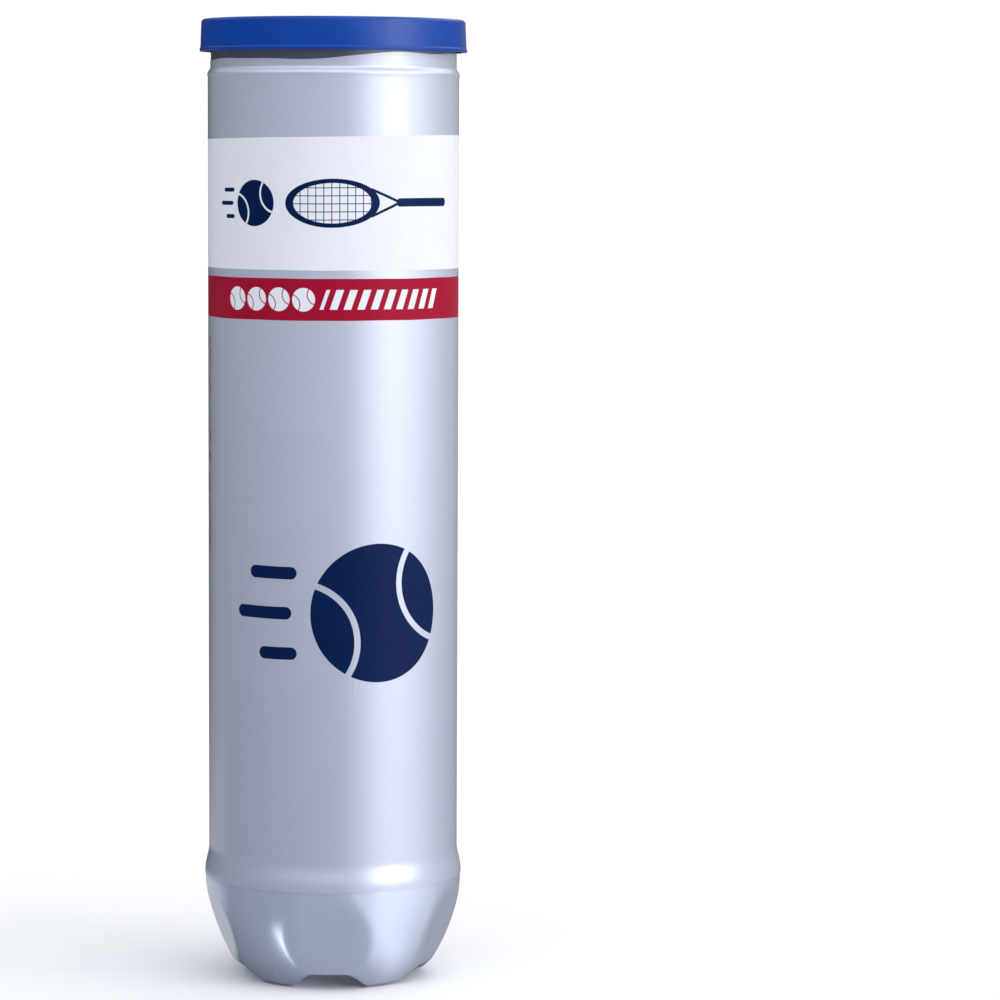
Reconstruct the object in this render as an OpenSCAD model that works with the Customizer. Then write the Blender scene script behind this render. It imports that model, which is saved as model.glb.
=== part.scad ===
// Tennis ball can: a blow-moulded bottle with five feet, a printed shrink sleeve, a seamed metal
// end with a tear-off panel and ring tab, a push-on lid, and four balls stacked inside.
// The frame is in millimetres. The origin is on the axis, in the plane of the feet, and +Z is up.
// The printed front faces -Y.

/* [Bottle] */
// Outside diameter of the straight bottle wall
body_d = 73.9; // [73.5:0.1:74.5]
// Thickness of the bottle wall
wall = 0.5; // [0.4:0.05:0.6]
// Outside diameter of the neck under the metal end
neck_d = 72.4; // [72.3:0.1:72.6]
// Height where the shoulder reaches the neck
shoulder_top = 270.4; // [269:0.1:271]

/* [Base] */
// Outside diameter of the heel, the widest ring of the bottle
heel_d = 76.3; // [75.8:0.1:76.6]
// Height of the heel above the feet
heel_z = 30; // [29:0.5:31]
// Angle of the flats between the feet, from the vertical
flat_lean = 18.6; // [17.5:0.1:19.5]
// Height of the arches between the feet
arch_h = 4.8; // [4:0.1:5]
// Height of the dome in the middle of the base
dome_h = 5.5; // [5.2:0.1:5.8]
// Turn of the base, from a flat facing straight forwards
base_turn = -2.4; // [-10:0.1:10]

/* [Sleeve] */
// Thickness of the shrink sleeve
sleeve_t = 0.15; // [0.1:0.01:0.2]

/* [Metal end] */
// Thickness of the sheet
sheet = 0.25; // [0.2:0.01:0.26]
// Height of the top of the double seam
seam_top = 283.3; // [283.2:0.1:283.4]
// Radius of the score line, where the panel tears out
score_r = 34; // [33.9:0.05:34.1]

/* [Lid] */
// Outside diameter at the lower edge of the skirt
lid_d = 78.9; // [78.6:0.1:80]
// Overall height, to the top of the lid
total_h = 284.5; // [284.4:0.1:285]
// Height of the lower edge of the skirt
lid_bottom = 275; // [274:0.1:276]

/* [Balls] */
// Outside diameter of a ball
ball_d = 66.5; // [65.5:0.1:66.6]
// Thickness of the felt
felt_t = 3.3; // [3:0.1:3.5]
// Thickness of the rubber core
core_t = 3.5; // [3.2:0.1:3.8]
// Width of the seam between the felt panels
seam_w = 2; // [1.5:0.1:2.5]

/* [Hidden] */
$fn = 96;

feet = 5;
body_r = body_d / 2;
neck_r = neck_d / 2;
heel_r = heel_d / 2;
shoulder_h = 1.8;            // height of the slope between the wall and the neck
fit_gap = 0.05;              // gap between neighbouring pieces

heel_arc_r = 12;             // curve of the bulge above the heel
base_arc_r = 45.3;           // curve of the side below the heel
foot_r = 3.8;                // curve from the side into a foot
arch_r = 18;                 // radius of the arch between two feet
arch_start = 4;              // distance from the axis where the arches begin
dome_r = 45;                 // radius of the dome in the middle of the base
flat_top = heel_z - 1.5;     // height where the flats run out into the heel

sleeve_gap = 0.02;           // gap between the sleeve and the bottle
sleeve_top = shoulder_top + 2.4;         // on the neck, just under the lid

chuck_r = neck_r - wall - 0.15;          // outside of the end's inner wall
hook_r = neck_r + 0.1;                   // inside of the end's turned-up hook
flange_r = neck_r + 0.95;                // outside of the bottle's turned-down flange
seam_r = flange_r + 0.1 + sheet;         // outside of the double seam
seam_bottom = seam_top - 3.1;
flange_top = seam_top - sheet - 0.15;
groove_bottom = seam_top - 7.3;          // lowest point of the end
groove_in_r = score_r + 0.55;            // inner side of the groove
panel_top = groove_bottom + 1.4;
panel_drop = 0.7;                        // depth of the panel's lowered middle
drop_r = 27.4;                           // radius of the lowered middle

hinge_y = -30.6;                         // the tab turns about its rolled nose
hinge_z = panel_top + 1.1;
nose_r = 0.9;
tab_t = 0.8;
rim_t = 1.4;
rim_w = 1.1;
tab_half_w = 7.6;
nose_half_w = 4.6;
ring_y = 15.2;                           // hinge to the middle of the finger ring
ring_hole_r = 5;
rivet_y = 4.9;                           // hinge to the middle of the rivet
rivet_r = 2;
rivet_head_r = 3;
tongue_r = 3.4;
tongue_half_w = 2.5;
lance_gap = 0.35;                        // slot between the tongue and the tab

lid_t = 1;
lid_draft = 0.55;
lid_round = 1.2;
lid_inner_r = seam_r + 0.7;              // inside of the skirt
lid_plug_r = chuck_r - sheet - 0.2;      // outside of the lowered middle
snap_r = 0.65;                           // rounding of the snap bead inside the skirt
snap_z = seam_bottom - 0.75;
lip_h = 0.8;

ball_r = ball_d / 2;
core_r = ball_r - felt_t - fit_gap;
core_in_r = core_r - core_t;
seam_depth = 0.55;                       // how far the seam lies below the felt
half_seam = seam_w / 2 / ball_r * 180 / PI;
seam_slack = 2 * fit_gap / ball_r * 180 / PI;
half_step = 0.03;                        // degrees by which a panel's lower half is the wider one
first_ball_z = dome_h + wall + fit_gap + ball_r;
ball_pitch = ball_d + fit_gap;
ball_spins = [20, 50, 75, 110];          // turn of each ball about its own Z ...
quarter_turns = [[0, 0, 0], [90, 0, 0], [0, 90, 0], [180, 0, 0]];     // ... which then points here

// A right half outline that is turned about Z.
module turned() rotate_extrude() children();

// ---- Bottle ----

// Sector from point c, between straight down and direction [u, -v], that the foot's rounding leaves out.
module corner_cut(c, u, v, r) {
    far = 15;
    difference() {
        polygon([c, c + [0, -far], c + [far, -far], c + far * [u, -v]]);
        translate(c) circle(r);
    }
}

// Right half outline of the solid bottle, moved inwards by inset.
module bottle_outline(inset = 0) {
    base_c = heel_r - base_arc_r;
    reach = base_arc_r - foot_r;
    drop = heel_z - foot_r;
    run = sqrt(reach * reach - drop * drop);
    difference() {
        intersection() {
            translate([base_c, heel_z]) circle(base_arc_r - inset);
            translate([0, inset]) square([heel_r, heel_z - inset]);
        }
        corner_cut([base_c + run, foot_r], run / reach, drop / reach, foot_r - inset);
    }
    intersection() {
        translate([heel_r - heel_arc_r, heel_z]) circle(heel_arc_r - inset);
        translate([0, heel_z]) square([heel_r, heel_arc_r]);
    }
    translate([0, heel_z]) square([body_r - inset, shoulder_top - shoulder_h - heel_z]);
    polygon([
        [0, shoulder_top - shoulder_h], [body_r - inset, shoulder_top - shoulder_h],
        [neck_r - inset, shoulder_top], [neck_r - inset, flange_top], [0, flange_top]
    ]);
}

// The solid bottle with its flats, arches and dome, moved inwards by inset.
module bottle_solid(inset = 0) {
    difference() {
        turned() bottle_outline(inset);
        for (i = [0 : feet - 1]) rotate(i * 360 / feet - 90) {
            translate([heel_r - fit_gap, 0, flat_top]) rotate([0, flat_lean, 0])
                translate([-inset, -40, -60]) cube([40, 80, 120]);
            translate([arch_start, 0, arch_h - arch_r]) rotate([0, 90, 0])
                cylinder(r = arch_r + inset, h = heel_r);
        }
        translate([0, 0, dome_h - dome_r]) sphere(dome_r + inset);
    }
}

module can_body() {
    color("silver") rotate(base_turn) difference() {
        union() {
            bottle_solid();
            // Flange that the metal end is seamed onto.
            turned() translate([neck_r - wall, flange_top - wall])
                square([flange_r - neck_r + wall, wall]);
            turned() translate([flange_r - wall, flange_top - 1.7]) square([wall, 1.7]);
        }
        bottle_solid(wall);
        translate([0, 0, flange_top - 1]) cylinder(r = neck_r - wall, h = 2);
    }
}

module shrink_sleeve() {
    color("lightsteelblue") turned() intersection() {
        difference() {
            bottle_outline(-sleeve_gap - sleeve_t);
            bottle_outline(-sleeve_gap);
        }
        translate([0, heel_z]) square([2 * heel_r, sleeve_top - heel_z]);
    }
}

// ---- Metal end ----

// Ring that stays on the bottle: the double seam, the inner wall and the groove.
module end_ring() {
    color("gainsboro") turned() {
        translate([chuck_r - sheet, seam_top - sheet])
            square([seam_r - chuck_r + sheet, sheet]);
        translate([seam_r - sheet, seam_bottom]) square([sheet, seam_top - seam_bottom]);
        translate([hook_r, seam_bottom]) square([seam_r - hook_r, sheet]);
        translate([hook_r, seam_bottom]) square([sheet, 1.6]);
        translate([chuck_r - sheet, groove_bottom]) square([sheet, seam_top - groove_bottom]);
        translate([groove_in_r - sheet, groove_bottom])
            square([chuck_r - groove_in_r + sheet, sheet]);
        translate([groove_in_r - sheet, groove_bottom])
            square([sheet, panel_top - groove_bottom]);
        translate([score_r, panel_top - sheet]) square([groove_in_r - score_r, sheet]);
    }
}

// Sealing compound between the end and the bottle's flange.
module seam_compound() {
    color("dimgray") turned() translate([neck_r - wall + 0.05, flange_top + 0.02])
        square([flange_r - neck_r + wall - 0.1, 0.11]);
}

// Panel that tears out along the score line, with the rivet that is drawn up from it.
module tear_panel() {
    low = panel_top - panel_drop;
    slope = 0.8;
    lean = 0.1;
    color("whitesmoke") union() {
        turned() polygon([
            [0, low - sheet], [drop_r + lean, low - sheet],
            [drop_r + lean + slope, panel_top - sheet], [score_r - fit_gap, panel_top - sheet],
            [score_r - fit_gap, panel_top], [drop_r + slope, panel_top], [drop_r, low], [0, low]
        ]);
        translate([0, hinge_y + rivet_y, low - sheet / 2]) {
            cylinder(r = rivet_r, h = hinge_z + tab_t / 2 + sheet - low);
            translate([0, 0, hinge_z + tab_t / 2 + sheet / 2 + fit_gap - low])
                cylinder(r = rivet_head_r, h = 0.4);
        }
    }
}

// Tongue of the tab, cut free on three sides and held flat by the rivet.
module tongue_outline(gap = 0) {
    translate([0, rivet_y]) circle(tongue_r + gap);
    translate([-tongue_half_w - gap, nose_r + fit_gap - gap])
        square([2 * (tongue_half_w + gap), rivet_y - nose_r - fit_gap + gap]);
}

module tab_tongue() {
    color("gray") translate([0, hinge_y, hinge_z - tab_t / 2]) difference() {
        linear_extrude(tab_t) tongue_outline();
        translate([0, rivet_y, -1]) cylinder(r = rivet_r + fit_gap, h = tab_t + 2);
    }
}

// Outline of the tab from its nose to its ring end, moved inwards by inset.
module tab_outline(inset = 0) {
    w = tab_half_w - inset;
    n = nose_half_w - inset;
    translate([0, ring_y]) circle(w);
    polygon([[-n, 0], [n, 0], [w, 8], [w, ring_y], [-w, ring_y], [-w, 8]]);
}

module pull_tab() {
    color("silver") translate([0, hinge_y, hinge_z]) difference() {
        union() {
            translate([0, 0, -tab_t / 2]) linear_extrude(tab_t) tab_outline();
            translate([0, 0, -tab_t / 2]) linear_extrude(rim_t) difference() {
                tab_outline();
                tab_outline(rim_w);
            }
            translate([0, 0, -tab_t / 2]) linear_extrude(rim_t) translate([0, ring_y])
                circle(ring_hole_r + rim_w);
            translate([-nose_half_w, 0, 0]) rotate([0, 90, 0])
                cylinder(r = nose_r, h = 2 * nose_half_w);
        }
        translate([0, 0, -tab_t]) linear_extrude(2 * rim_t) {
            translate([0, ring_y]) circle(ring_hole_r);
            intersection() {
                tongue_outline(lance_gap);
                translate([-tab_half_w, nose_r]) square([2 * tab_half_w, ring_y]);
            }
        }
    }
}

// ---- Lid ----

module snap_lid() {
    lid_r = lid_d / 2;
    top_r = lid_r - lid_draft;
    under_rim = seam_top + fit_gap;
    middle_top = under_rim - 0.15;
    color("royalblue") turned() {
        polygon([
            [0, middle_top - lid_t], [lid_plug_r, middle_top - lid_t], [lid_plug_r, under_rim],
            [lid_inner_r, under_rim], [lid_inner_r, lid_bottom], [lid_r - 0.05, lid_bottom],
            [top_r, total_h - lid_round], [top_r - lid_round, total_h],
            [lid_plug_r + 0.3, total_h], [lid_plug_r - 0.7, middle_top], [0, middle_top]
        ]);
        translate([top_r - lid_round, total_h - lid_round]) intersection() {
            circle(lid_round);
            square(lid_round);
        }
        translate([lid_inner_r, snap_z]) circle(snap_r);
        translate([lid_inner_r, lid_bottom]) square([lid_r - lid_inner_r, lip_h]);
    }
}

// ---- Balls ----

// A double cone about Z from the centre, with half angle a.
module double_cone(a) {
    reach = 1.3 * ball_r;
    for (m = [0, 1]) mirror([0, 0, m]) cylinder(h = reach, r1 = 0, r2 = reach * tan(a));
}

// The half of space above the XY plane.
module upper_half() translate([-ball_d, -ball_d, 0]) cube(2 * ball_d);

module lower_half() mirror([0, 0, 1]) upper_half();

module shell(r_out, r_in) {
    difference() {
        sphere(r_out);
        sphere(r_in);
    }
}

// A shell whose spheres have their poles at +Y and -Y, where a panel has its two bays.
module cover_shell(r_out, r_in) rotate([90, 90, 0]) shell(r_out, r_in);

// One of the two alike felt panels. Its edge runs round four half circles, each 45 degrees
// from an X or a Y pole, which meet at the equator. The halves differ by half_step there, so
// that they overlap instead of meeting edge to edge.
module felt_panel() {
    union() {
        difference() {
            intersection() {
                cover_shell(ball_r, ball_r - felt_t);
                upper_half();
            }
            rotate([90, 0, 0]) double_cone(45 + half_seam);
        }
        intersection() {
            cover_shell(ball_r, ball_r - felt_t);
            lower_half();
            rotate([0, 90, 0]) double_cone(45 - half_seam + half_step);
        }
    }
}

// Rubber seam that fills the gap between the panels.
module ball_seam() {
    wide = 45 + half_seam - seam_slack;
    narrow = 45 - half_seam + seam_slack;
    for (half = [0, 1]) rotate([180 * half, 0, 90 * half]) difference() {
        intersection() {
            cover_shell(ball_r - seam_depth, ball_r - felt_t);
            upper_half();
            rotate([90, 0, 0]) double_cone(wide + half * half_step);
        }
        rotate([90, 0, 0]) double_cone(narrow - half * half_step);
    }
}

module core_half() {
    intersection() {
        shell(core_r, core_in_r);
        translate([0, 0, fit_gap / 2]) upper_half();
    }
}

module ball_piece(k, piece) {
    translate([0, 0, first_ball_z + (k - 1) * ball_pitch])
    rotate(quarter_turns[k - 1]) rotate(ball_spins[k - 1]) {
        if (piece == "core_lower") color("dimgray") mirror([0, 0, 1]) core_half();
        if (piece == "core_upper") color("dimgray") core_half();
        if (piece == "felt_a") color("greenyellow") felt_panel();
        if (piece == "felt_b") color("greenyellow") rotate([180, 0, 90]) felt_panel();
        if (piece == "seam") color("white") ball_seam();
    }
}

can_body();
shrink_sleeve();
end_ring();
seam_compound();
tear_panel();
tab_tongue();
pull_tab();
snap_lid();
for (k = [1:4]) for (piece = ["core_lower", "core_upper", "felt_a", "felt_b", "seam"])
    ball_piece(k, piece);
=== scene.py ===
"""Looks of the tennis ball can: shapes, materials, a plain studio and the camera.

Lengths are in millimetres until a mesh is made. +Z is up and the printed front faces -Y.
"""

import math
import random

import bmesh
import bpy
import numpy as np
from mathutils import Euler, Matrix, Vector, noise
from mathutils.geometry import tessellate_polygon


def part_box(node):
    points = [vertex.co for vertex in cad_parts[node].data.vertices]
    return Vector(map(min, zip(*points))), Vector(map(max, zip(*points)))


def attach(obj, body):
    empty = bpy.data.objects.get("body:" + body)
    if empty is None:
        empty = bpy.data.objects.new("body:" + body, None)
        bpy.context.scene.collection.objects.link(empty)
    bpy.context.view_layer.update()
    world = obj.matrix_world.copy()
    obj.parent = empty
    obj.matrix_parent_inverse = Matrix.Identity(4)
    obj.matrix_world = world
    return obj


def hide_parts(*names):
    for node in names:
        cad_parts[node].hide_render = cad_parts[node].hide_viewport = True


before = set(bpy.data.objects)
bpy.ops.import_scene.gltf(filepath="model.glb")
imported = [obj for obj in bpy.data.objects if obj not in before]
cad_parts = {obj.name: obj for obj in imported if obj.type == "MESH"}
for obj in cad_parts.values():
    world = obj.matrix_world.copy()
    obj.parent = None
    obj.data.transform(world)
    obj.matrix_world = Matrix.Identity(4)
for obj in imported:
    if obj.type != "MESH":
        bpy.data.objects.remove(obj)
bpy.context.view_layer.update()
random.seed(7)

MM = 1000.0  # millimetres in a metre
TURN = 2 * math.pi


# ---- Sizes ----


def span(node):
    """Lowest and highest corner of a CAD node, in millimetres."""
    low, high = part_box(node)
    return low * MM, high * MM


_, can_high = span("can_body")
sleeve_low, sleeve_high = span("shrink_sleeve")
end_low, end_high = span("end_ring")
_, panel_high = span("tear_panel")
tab_low, tab_high = span("pull_tab")
tongue_low, tongue_high = span("tab_tongue")
lid_low, lid_high = span("snap_lid")

# Bottle: its outside radii and heights, and the slopes and curves of its base
HEEL_R = can_high.x
HEEL_Z = sleeve_low.z
BODY_R = HEEL_R - 1.2
NECK_R = BODY_R - 0.75
SHOULDER_TOP = sleeve_high.z - 2.4
SHOULDER_H = 1.8
WALL = 0.5
FLANGE_TOP = can_high.z
FLANGE_R = NECK_R + 0.95
FLANGE_DROP = 1.6
FEET = 5
FRONT_VALLEY = math.radians(-90 - 2.4)  # the flat that faces almost straight forwards
FLAT_TOP = HEEL_Z - 1.5
FLAT_LEAN = math.radians(18.6)
SIDE_ARC_R = 45.3
FOOT_R = 3.8
PAD_W = 2.4
DOME_Z = 5.5
ARCH_Z = 4.8
ARCH_HALF_W = 12.4
ARCH_TOP_HALF_W = 5.0

# Sleeve
SLEEVE_GAP = 0.02
SLEEVE_T = 0.15
SLEEVE_R = BODY_R + SLEEVE_GAP + SLEEVE_T
LAP_ANGLE = math.radians(128)
LAP_HALF_W = 4.0

# Metal end
SHEET = 0.25
SEAM_R = end_high.x
SEAM_TOP = end_high.z
SEAM_H = 3.1
CHUCK_R = NECK_R - WALL - 0.15  # outside of the inner wall that goes down to the groove
GROOVE_Z = end_low.z
PANEL_R = panel_high.x
PANEL_TOP = GROOVE_Z + 1.4
PANEL_DROP = 0.7
DROP_R = 27.4
RIVET_R = 2.0
RIVET_HEAD_R = 3.0

# Ring tab: the hinge line is the middle of its rolled nose
NOSE_R = 0.9
NOSE_HALF_W = 4.6
HINGE_Y = tab_low.y + NOSE_R
HINGE_Z = tab_low.z + NOSE_R
TAB_HALF_W = tab_high.x
RING_Y = tab_high.y - TAB_HALF_W
RING_HOLE_R = 5.0
RIVET_Y = HINGE_Y + 4.9
TONGUE_R = 3.4
TONGUE_HALF_W = 2.5

# Lid
LID_R = lid_high.x
LID_TOP = lid_high.z
LID_BOTTOM = lid_low.z
LID_DRAFT = 0.55

# Balls: each is turned about its own Z by its spin, then by quarter and half turns
FELT_T = 3.3
SEAM_W = 2.0
SEAM_DEPTH = 1.05
BALL_SPINS = (20, 50, 75, 110)
BALL_TURNS = ((0, 0, 0), (90, 0, 0), (0, 90, 0), (180, 0, 0))

# Bands on the sleeve, as their lower and upper heights
WHITE_BAND = (211.8, 250.1)
RED_BAND = (197.3, 209.4)

# Mesh settings
MERGE = 1e-7  # points closer than this many metres become one
SHARP = math.radians(38)  # edges that turn by more than this stay crisp


# ---- Meshes ----


def grid_faces(rows, columns, wrap_rows=False, wrap_columns=True, start=0):
    """Quads of a grid of points, numbered row by row."""
    quads = []
    for row in range(rows if wrap_rows else rows - 1):
        for column in range(columns if wrap_columns else columns - 1):
            a = start + row * columns
            b = start + (row + 1) % rows * columns
            c = (column + 1) % columns
            quads.append((a + column, a + c, b + c, b + column))
    return quads


def make(name, parts, body, stands_for, material):
    """A piece of the object from parts, each its points in millimetres and its faces."""
    points, faces = [], []
    for part_points, part_faces in parts:
        base = len(points)
        points.extend(tuple(p) for p in part_points)
        faces.extend(tuple(base + i for i in face) for face in part_faces)
    mesh = bpy.data.meshes.new(name)
    mesh.from_pydata([tuple(c / MM for c in p) for p in points], [], faces)
    work = bmesh.new()
    work.from_mesh(mesh)
    bmesh.ops.remove_doubles(work, verts=work.verts, dist=MERGE)
    bmesh.ops.dissolve_degenerate(work, edges=work.edges, dist=MERGE)
    bmesh.ops.recalc_face_normals(work, faces=work.faces)
    work.to_mesh(mesh)
    work.free()
    mesh.materials.append(material)
    mesh.polygons.foreach_set("use_smooth", [True] * len(mesh.polygons))
    mesh.set_sharp_from_angle(angle=SHARP)
    piece = bpy.data.objects.new(name, mesh)
    bpy.context.scene.collection.objects.link(piece)
    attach(piece, body)
    if stands_for:
        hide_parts(stands_for)


def revolve(outline, steps=256):
    """A closed outline of (radius, height) turned about Z."""
    points = []
    for radius, height in outline:
        for step in range(steps):
            angle = TURN * step / steps
            points.append((radius * math.cos(angle), radius * math.sin(angle), height))
    return points, grid_faces(len(outline), steps, wrap_rows=True)


def rounded(corners, steps=6):
    """Points along an outline through corners (x, y, radius), with an arc at each corner."""
    points = []
    for i, (x, y, radius) in enumerate(corners):
        here = np.array((x, y), float)
        if not radius:
            points.append(here)
            continue
        back = np.array(corners[i - 1][:2], float) - here
        on = np.array(corners[(i + 1) % len(corners)][:2], float) - here
        back /= np.linalg.norm(back)
        on /= np.linalg.norm(on)
        half = math.acos(max(-1.0, min(1.0, float(back @ on)))) / 2
        middle = here + (back + on) / np.linalg.norm(back + on) * radius / math.sin(half)
        first = here + back * radius / math.tan(half) - middle
        last = here + on * radius / math.tan(half) - middle
        start = math.atan2(first[1], first[0])
        sweep = (math.atan2(last[1], last[0]) - start + math.pi) % TURN - math.pi
        for step in range(steps + 1):
            a = start + sweep * step / steps
            points.append(middle + radius * np.array((math.cos(a), math.sin(a))))
    return points


def sheet_outline(path, thickness):
    """Closed outline of a sheet of even thickness that follows an open path."""
    path = np.array(path)
    along = np.gradient(path, axis=0)
    along /= np.linalg.norm(along, axis=1)[:, None]
    side = np.stack((-along[:, 1], along[:, 0]), 1) * thickness / 2
    return np.vstack((path + side, (path - side)[::-1]))


def tube(path, radius, tall=1.0):
    """A closed tube round a closed path that lies flat, of (x, y, z) points. tall stretches it upwards."""
    steps = 12
    path = np.array(path)
    along = np.roll(path, -1, 0) - np.roll(path, 1, 0)
    along /= np.linalg.norm(along, axis=1)[:, None]
    side = np.stack((along[:, 1], -along[:, 0], 0 * along[:, 2]), 1)
    points = []
    for centre, out in zip(path, side):
        for step in range(steps):
            a = TURN * step / steps
            up = np.array((0, 0, radius * tall * math.sin(a)))
            points.append(centre + out * radius * math.cos(a) + up)
    return points, grid_faces(len(path), steps, wrap_rows=True)


def plate(outline, holes, low, high):
    """A flat plate with holes, between two heights."""
    loops = [[Vector((x, y, 0)) for x, y in loop] for loop in (outline, *holes)]
    flat = [v for loop in loops for v in loop]
    triangles = tessellate_polygon(loops)
    count = len(flat)
    points = [(v.x, v.y, high) for v in flat] + [(v.x, v.y, low) for v in flat]
    faces = list(triangles) + [tuple(i + count for i in t) for t in triangles]
    start = 0
    for loop in loops:
        for i in range(len(loop)):
            a, b = start + i, start + (i + 1) % len(loop)
            faces.append((a, b, b + count, a + count))
        start += len(loop)
    return points, faces


def circle_points(y, radius, steps=48):
    """Points on a circle whose middle is at (0, y)."""
    turns = [TURN * i / steps for i in range(steps)]
    return [(radius * math.cos(a), y + radius * math.sin(a)) for a in turns]


def smoothstep(low, high, value):
    """0 at low, 1 at high, and smooth between them. low may be the larger."""
    t = np.clip((value - low) / (high - low), 0, 1)
    return t * t * (3 - 2 * t)


# ---- Material trees ----


def colour(red, green, blue):
    """Linear colour from screen values of 0 to 255, by the usual screen curve."""
    linear = []
    for value in (red, green, blue):
        share = value / 255
        linear.append(((share + 0.055) / 1.055) ** 2.4 if value > 10 else share / 12.92)
    return (*linear, 1.0)


class Num:
    """A number in a material's node tree. Arithmetic on it adds Math nodes."""

    def __init__(self, tree, socket):
        self.tree = tree
        self.socket = socket

    def math(self, operation, *others):
        node = self.tree.nodes.new("ShaderNodeMath")
        node.operation = operation
        for place, value in zip(node.inputs, (self, *others)):
            self.tree.feed(place, value)
        return Num(self.tree, node.outputs[0])

    def __add__(self, other):
        return self.math("ADD", other)

    def __sub__(self, other):
        return self.math("SUBTRACT", other)

    def __mul__(self, other):
        return self.math("MULTIPLY", other)

    def __truediv__(self, other):
        return self.math("DIVIDE", other)

    def __abs__(self):
        return self.math("ABSOLUTE")

    def __neg__(self):
        return self * -1.0

    def smaller(self, other):
        return self.math("MINIMUM", other)

    def larger(self, other):
        return self.math("MAXIMUM", other)

    def ramp(self, low, high):
        """0 below low, 1 above high, and smooth between them. low may be the larger."""
        node = self.tree.nodes.new("ShaderNodeMapRange")
        node.interpolation_type = "SMOOTHSTEP"
        for name, value in (("Value", self), ("From Min", low), ("From Max", high)):
            self.tree.feed(node.inputs[name], value)
        return Num(self.tree, node.outputs["Result"])

    def within(self, low, high, edge=0.06):
        """1 where the number lies between low and high."""
        return self.ramp(low - edge, low + edge) * self.ramp(high + edge, high - edge)


class Tree:
    """The node tree of a new material that ends in one Principled shader, or of a world."""

    def __init__(self, name=None, world=None, **settings):
        self.material = world or bpy.data.materials.new(name)
        self.material.use_nodes = True
        self.nodes = self.material.node_tree.nodes
        self.links = self.material.node_tree.links
        coordinates = self.nodes.new("ShaderNodeTexCoord")
        self.spot = coordinates.outputs["Generated" if world else "Object"]
        self.shader = self.nodes["Background" if world else "Principled BSDF"]
        self.set(**settings)

    def feed(self, place, value):
        if isinstance(value, Num):
            value = value.socket
        if isinstance(value, bpy.types.NodeSocket):
            self.links.new(value, place)
        else:
            place.default_value = value

    def set(self, **settings):
        """Feeds the shader's inputs, such as base_color or coat_weight."""
        for name, value in settings.items():
            words = " ".join(w.capitalize() for w in name.split("_"))
            self.feed(self.shader.inputs[words.replace("Ior", "IOR")], value)

    def place(self):
        """The point's x, y and z in millimetres, or a direction's in thousandths."""
        node = self.nodes.new("ShaderNodeSeparateXYZ")
        self.links.new(self.spot, node.inputs[0])
        return [Num(self, node.outputs[i]) * MM for i in range(3)]

    def noise(self, size, detail=3.0, stretch=(1, 1, 1), roughness=0.5, vector=None):
        """Noise of 0 to 1 whose lumps are about size mm across, longer along an axis stretched above 1."""
        mapping = self.nodes.new("ShaderNodeMapping")
        self.links.new(vector or self.spot, mapping.inputs["Vector"])
        mapping.inputs["Scale"].default_value = [MM / size / s for s in stretch]
        node = self.nodes.new("ShaderNodeTexNoise")
        self.links.new(mapping.outputs[0], node.inputs["Vector"])
        node.inputs["Scale"].default_value = 1.0
        node.inputs["Detail"].default_value = detail
        node.inputs["Roughness"].default_value = roughness
        return Num(self, node.outputs["Fac"])

    def mix(self, share, low, high):
        """The colour low where share is 0 and high where it is 1."""
        node = self.nodes.new("ShaderNodeMix")
        node.data_type = "RGBA"
        self.feed(node.inputs["Factor"], share)
        self.feed(node.inputs["A"], low)
        self.feed(node.inputs["B"], high)
        return node.outputs["Result"]

    def bump(self, height, depth, below=None):
        """A normal for height, a number of 0 to 1 that is worth depth mm."""
        node = self.nodes.new("ShaderNodeBump")
        self.feed(node.inputs["Height"], height)
        node.inputs["Distance"].default_value = depth / MM
        if below is not None:
            self.links.new(below, node.inputs["Normal"])
        return node.outputs["Normal"]


# ---- Prints ----


def disc(s, z, x, y, radius):
    """Distance in mm to a circle's edge, negative inside it."""
    dx, dy = s - x, z - y
    return (dx * dx + dy * dy).math("SQRT") - radius


def bar(s, z, x0, x1, y0, y1):
    """Distance in mm to the edge of a bar with round ends, negative inside it."""
    radius = (y1 - y0) / 2
    over = (abs(s - (x0 + x1) / 2) - ((x1 - x0) / 2 - radius)).larger(0.0)
    dy = z - (y0 + y1) / 2
    return (over * over + dy * dy).math("SQRT") - radius


def printed(distance):
    """1 on the printed side of an edge."""
    return distance.ramp(0.05, -0.05)


def ball_icon(s, z, x, y, radius):
    """Distance to a disc with the two seam lines of a tennis ball left out."""
    aside, above, bend, line = (share * radius for share in (1.18, 0.42, 0.86, 0.045))
    right = abs(disc(s, z, x + aside, y + above, bend)) - line
    left = abs(disc(s, z, x - aside, y - above, bend)) - line
    return disc(s, z, x, y, radius).larger(-left.smaller(right))


def flying_ball(s, z, left, low, height):
    """Distance to a ball icon with three speed lines on its left, in a box 1.6 times as wide as high."""
    radius = height / 2
    half = 0.045 * height
    shape = ball_icon(s, z, left + 1.6 * height - radius, low + radius, radius)
    # Where each line starts and ends and how high it lies, as shares of the height.
    for start, end, level in ((0.12, 0.50, 0.79), (0.0, 0.46, 0.5), (0.2, 0.50, 0.21)):
        middle = low + level * height
        line = bar(s, z, left + start * height, left + end * height, middle - half, middle + half)
        shape = shape.smaller(line)
    return shape


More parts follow.
